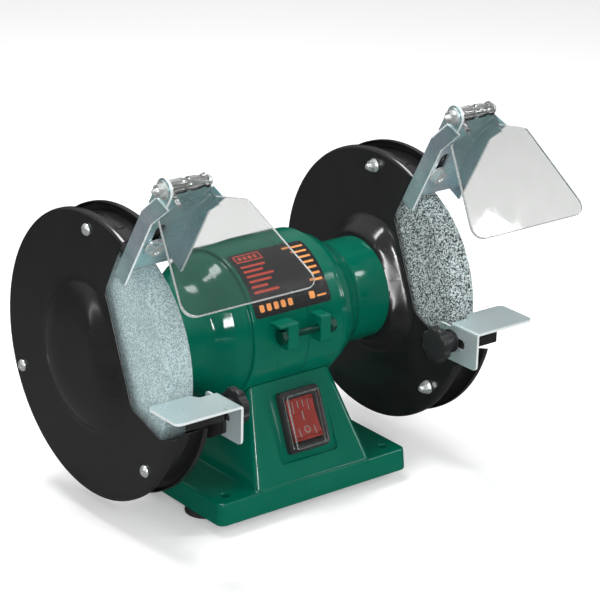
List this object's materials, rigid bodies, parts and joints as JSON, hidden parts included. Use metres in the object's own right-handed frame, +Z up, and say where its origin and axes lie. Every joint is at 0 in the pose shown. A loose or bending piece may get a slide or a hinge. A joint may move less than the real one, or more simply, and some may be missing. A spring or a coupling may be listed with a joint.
{
  "type": "bench grinder",
  "caption": "Electric bench grinder: a motor on a pedestal base with a guarded grinding wheel at each end, adjustable tool rests, clear eye shields and a rocker switch.",
  "frame": {"origin": "under the middle of the shaft, at the centre of the bottom plate's underside; the rubber feet reach 8 mm lower", "axes": "+X along the shaft towards the right wheel, -Y towards the user, +Z up"},
  "size_m": [0.41, 0.3177, 0.3281],
  "materials": {
    "green_enamel": "gloss deep green enamel",
    "black_enamel": "gloss black enamel",
    "zinc_plate": "blue-grey zinc plate",
    "bright_steel": "plated steel",
    "laminated_iron": "laminated core",
    "copper_winding": "varnished copper",
    "black_rubber": "matt",
    "black_plastic": "satin",
    "label_film": "printed film",
    "fine_abrasive": "fine grained abrasive, matt",
    "coarse_abrasive": "coarse speckled abrasive, matt",
    "clear_acrylic": "clear polished sheet",
    "red_switch": "gloss",
    "capacitor_can": "moulded"
  },
  "bodies": {
    "base": {"base_pedestal": "green_enamel", "motor_housing_left": "green_enamel", "motor_housing_right": "green_enamel", "guard_cover_left": "black_enamel", "guard_cover_right": "black_enamel", "guard_inner_left": "black_enamel", "guard_inner_right": "black_enamel", "guard_band_left": "black_enamel", "guard_band_right": "black_enamel", "rest_arm_left": "black_enamel", "rest_arm_right": "black_enamel", "bottom_plate": "bright_steel", "housing_bolt": "bright_steel", "housing_nut": "bright_steel", "bearing_left": "bright_steel", "bearing_right": "bright_steel", "guard_bolt_left_1": "bright_steel", "guard_bolt_left_2": "bright_steel", "guard_bolt_left_3": "bright_steel", "guard_bolt_right_1": "bright_steel", "guard_bolt_right_2": "bright_steel", "guard_bolt_right_3": "bright_steel", "bracket_bolt_left": "bright_steel", "bracket_bolt_right": "bright_steel", "stator_core": "laminated_iron", "stator_winding_left": "copper_winding", "stator_winding_right": "copper_winding", "foot_front_left": "black_rubber", "foot_front_right": "black_rubber", "foot_rear_left": "black_rubber", "foot_rear_right": "black_rubber", "switch_body": "black_plastic", "cable_gland": "black_plastic", "nameplate": "label_film", "switch_cover": "clear_acrylic", "capacitor": "capacitor_can"},
    "rotor": {"shaft": "bright_steel", "rotor_core": "laminated_iron", "grinding_wheel_left": "fine_abrasive", "grinding_wheel_right": "coarse_abrasive", "inner_flange_left": "bright_steel", "inner_flange_right": "bright_steel", "outer_flange_left": "bright_steel", "outer_flange_right": "bright_steel", "shaft_nut_left": "bright_steel", "shaft_nut_right": "bright_steel"},
    "rocker": {"switch_rocker": "red_switch"},
    "bracket_left": {"shield_bracket_left": "zinc_plate", "pivot_bolt_left": "bright_steel"},
    "shield_left": {"eye_shield_left": "clear_acrylic"},
    "rest_clamp_left": {"rest_bolt_left": "zinc_plate"},
    "rest_left": {"tool_rest_left": "zinc_plate"},
    "knob_left": {"rest_knob_left": "black_plastic"},
    "bracket_right": {"shield_bracket_right": "zinc_plate", "pivot_bolt_right": "bright_steel"},
    "shield_right": {"eye_shield_right": "clear_acrylic"},
    "rest_clamp_right": {"rest_bolt_right": "zinc_plate"},
    "rest_right": {"tool_rest_right": "zinc_plate"},
    "knob_right": {"rest_knob_right": "black_plastic"}
  },
  "joints": [
    {"name": "rotor_spin", "type": "hinge", "parent": "base", "child": "rotor", "pos_m": [0, 0, 0.134], "axis": [1, 0, 0], "continuous": true},
    {"name": "rocker_tilt", "type": "hinge", "parent": "base", "child": "rocker", "pos_m": [0, -0.06635, 0.06144], "axis": [1, 0, 0], "range_deg": [0, 16]},
    {"name": "bracket_left_slide", "type": "slide", "parent": "base", "child": "bracket_left", "axis": [0, -0.509, 0.8607], "range_m": [-0.001, 0.0045]},
    {"name": "shield_left_hinge", "type": "hinge", "parent": "bracket_left", "child": "shield_left", "pos_m": [-0.1457, -0.11321, 0.30579], "axis": [1, 0, 0], "range_deg": [-100, 25]},
    {"name": "rest_left_tilt", "type": "hinge", "parent": "base", "child": "rest_clamp_left", "pos_m": [-0.1194, -0.1155, 0.117], "axis": [1, 0, 0], "range_deg": [-10, 10]},
    {"name": "rest_left_slide", "type": "slide", "parent": "rest_clamp_left", "child": "rest_left", "axis": [0, 1, 0], "range_m": [-0.004, 0.0035]},
    {"name": "knob_left_turn", "type": "hinge", "parent": "rest_clamp_left", "child": "knob_left", "pos_m": [-0.1194, -0.1155, 0.117], "axis": [1, 0, 0], "range_deg": [0, 360]},
    {"name": "bracket_right_slide", "type": "slide", "parent": "base", "child": "bracket_right", "axis": [0, -0.4664, 0.8846], "range_m": [-0.001, 0.0045]},
    {"name": "shield_right_hinge", "type": "hinge", "parent": "bracket_right", "child": "shield_right", "pos_m": [0.1457, -0.10469, 0.31112], "axis": [1, 0, 0], "range_deg": [-100, 25]},
    {"name": "rest_right_tilt", "type": "hinge", "parent": "base", "child": "rest_clamp_right", "pos_m": [0.1194, -0.1155, 0.1205], "axis": [1, 0, 0], "range_deg": [-10, 10]},
    {"name": "rest_right_slide", "type": "slide", "parent": "rest_clamp_right", "child": "rest_right", "axis": [0, 1, 0], "range_m": [-0.004, 0.0035]},
    {"name": "knob_right_turn", "type": "hinge", "parent": "rest_clamp_right", "child": "knob_right", "pos_m": [0.1194, -0.1155, 0.1205], "axis": [1, 0, 0], "range_deg": [0, 360]}
  ]
}
